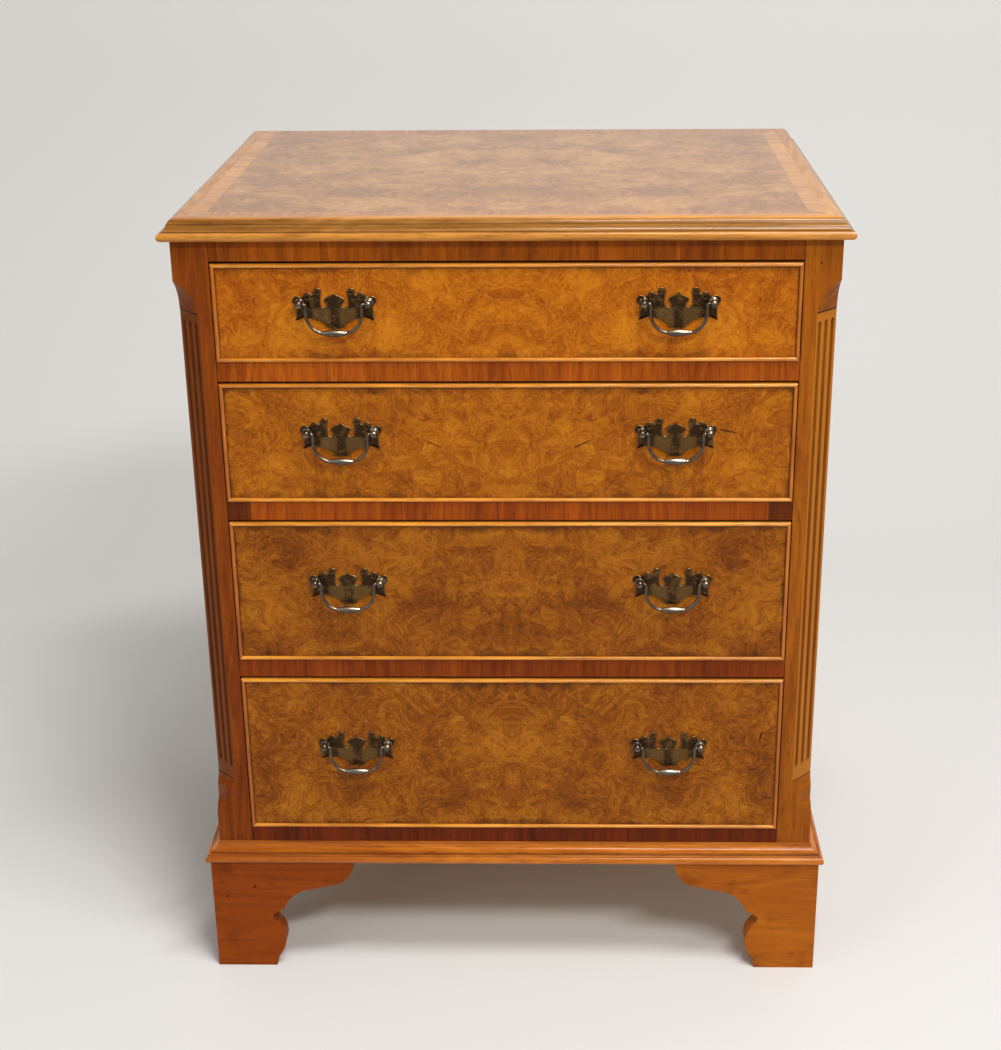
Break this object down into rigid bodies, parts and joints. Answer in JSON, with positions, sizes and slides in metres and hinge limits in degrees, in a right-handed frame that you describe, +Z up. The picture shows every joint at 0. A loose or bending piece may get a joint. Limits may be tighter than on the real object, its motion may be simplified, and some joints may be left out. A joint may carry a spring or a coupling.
{
  "type": "bachelors chest",
  "caption": "small free-standing chest of graduated drawers with fluted canted corners, moulded top, ogee bracket feet and swinging drop handles",
  "frame": {"origin": "on the floor, midway between the sides and midway between the back and the front of the base moulding", "axes": "+Z up, -Y out of the front, +X to the right seen from the front"},
  "size_m": [0.638, 0.476, 0.8],
  "materials": {
    "walnut": "waxed figured walnut with open grain",
    "burr_walnut": "polished burr walnut veneer",
    "cross_walnut": "polished walnut cut across the grain",
    "lining_wood": "bare oak and pine",
    "aged_brass": "dark bronzed brass, worn bright on the high parts",
    "iron": "dull black iron"
  },
  "bodies": {
    "carcase": {"top_panel": "burr_walnut", "top_moulding": "cross_walnut", "frieze_rail": "cross_walnut", "drawer_rail_1": "cross_walnut", "drawer_rail_2": "cross_walnut", "drawer_rail_3": "cross_walnut", "bottom_rail": "cross_walnut", "corner_post_left": "walnut", "corner_post_right": "walnut", "side_panel_left": "walnut", "side_panel_right": "walnut", "back_panel": "lining_wood", "back_rail": "lining_wood", "bottom_board": "lining_wood", "drawer_runners": "lining_wood", "drawer_kickers": "lining_wood", "drawer_stops": "lining_wood", "base_moulding": "cross_walnut", "foot_front_left": "walnut", "foot_front_right": "walnut", "foot_rear_left": "walnut", "foot_rear_right": "walnut", "foot_blocks": "lining_wood", "back_nails": "iron"},
    "drawer_1": {"drawer_1_front": "burr_walnut", "drawer_1_sides": "lining_wood", "drawer_1_back": "lining_wood", "drawer_1_bottom": "lining_wood", "drawer_1_cock_bead": "cross_walnut", "drawer_1_backplates": "aged_brass", "drawer_1_handle_posts": "aged_brass"},
    "drawer_1_bail_left": {"drawer_1_bail_left": "aged_brass"},
    "drawer_1_bail_right": {"drawer_1_bail_right": "aged_brass"},
    "drawer_2": {"drawer_2_front": "burr_walnut", "drawer_2_sides": "lining_wood", "drawer_2_back": "lining_wood", "drawer_2_bottom": "lining_wood", "drawer_2_cock_bead": "cross_walnut", "drawer_2_backplates": "aged_brass", "drawer_2_handle_posts": "aged_brass"},
    "drawer_2_bail_left": {"drawer_2_bail_left": "aged_brass"},
    "drawer_2_bail_right": {"drawer_2_bail_right": "aged_brass"},
    "drawer_3": {"drawer_3_front": "burr_walnut", "drawer_3_sides": "lining_wood", "drawer_3_back": "lining_wood", "drawer_3_bottom": "lining_wood", "drawer_3_cock_bead": "cross_walnut", "drawer_3_backplates": "aged_brass", "drawer_3_handle_posts": "aged_brass"},
    "drawer_3_bail_left": {"drawer_3_bail_left": "aged_brass"},
    "drawer_3_bail_right": {"drawer_3_bail_right": "aged_brass"},
    "drawer_4": {"drawer_4_front": "burr_walnut", "drawer_4_sides": "lining_wood", "drawer_4_back": "lining_wood", "drawer_4_bottom": "lining_wood", "drawer_4_cock_bead": "cross_walnut", "drawer_4_backplates": "aged_brass", "drawer_4_handle_posts": "aged_brass"},
    "drawer_4_bail_left": {"drawer_4_bail_left": "aged_brass"},
    "drawer_4_bail_right": {"drawer_4_bail_right": "aged_brass"}
  },
  "joints": [
    {"name": "drawer_1_slide", "type": "slide", "parent": "carcase", "child": "drawer_1", "axis": [0, -1, 0], "range_m": [0, 0.3]},
    {"name": "drawer_1_bail_left_swing", "type": "hinge", "parent": "drawer_1", "child": "drawer_1_bail_left", "pos_m": [-0.1575, -0.234, 0.7231], "axis": [-1, 0, 0], "range_deg": [-10.5, 193]},
    {"name": "drawer_1_bail_right_swing", "type": "hinge", "parent": "drawer_1", "child": "drawer_1_bail_right", "pos_m": [0.1575, -0.234, 0.7231], "axis": [-1, 0, 0], "range_deg": [-10.5, 193]},
    {"name": "drawer_2_slide", "type": "slide", "parent": "carcase", "child": "drawer_2", "axis": [0, -1, 0], "range_m": [0, 0.3]},
    {"name": "drawer_2_bail_left_swing", "type": "hinge", "parent": "drawer_2", "child": "drawer_2_bail_left", "pos_m": [-0.1575, -0.234, 0.5978], "axis": [-1, 0, 0], "range_deg": [-10.5, 193]},
    {"name": "drawer_2_bail_right_swing", "type": "hinge", "parent": "drawer_2", "child": "drawer_2_bail_right", "pos_m": [0.1575, -0.234, 0.5978], "axis": [-1, 0, 0], "range_deg": [-10.5, 193]},
    {"name": "drawer_3_slide", "type": "slide", "parent": "carcase", "child": "drawer_3", "axis": [0, -1, 0], "range_m": [0, 0.3]},
    {"name": "drawer_3_bail_left_swing", "type": "hinge", "parent": "drawer_3", "child": "drawer_3_bail_left", "pos_m": [-0.1575, -0.234, 0.444], "axis": [-1, 0, 0], "range_deg": [-10.5, 193]},
    {"name": "drawer_3_bail_right_swing", "type": "hinge", "parent": "drawer_3", "child": "drawer_3_bail_right", "pos_m": [0.1575, -0.234, 0.444], "axis": [-1, 0, 0], "range_deg": [-10.5, 193]},
    {"name": "drawer_4_slide", "type": "slide", "parent": "carcase", "child": "drawer_4", "axis": [0, -1, 0], "range_m": [0, 0.3]},
    {"name": "drawer_4_bail_left_swing", "type": "hinge", "parent": "drawer_4", "child": "drawer_4_bail_left", "pos_m": [-0.1575, -0.234, 0.2637], "axis": [-1, 0, 0], "range_deg": [-10.5, 193]},
    {"name": "drawer_4_bail_right_swing", "type": "hinge", "parent": "drawer_4", "child": "drawer_4_bail_right", "pos_m": [0.1575, -0.234, 0.2637], "axis": [-1, 0, 0], "range_deg": [-10.5, 193]}
  ]
}
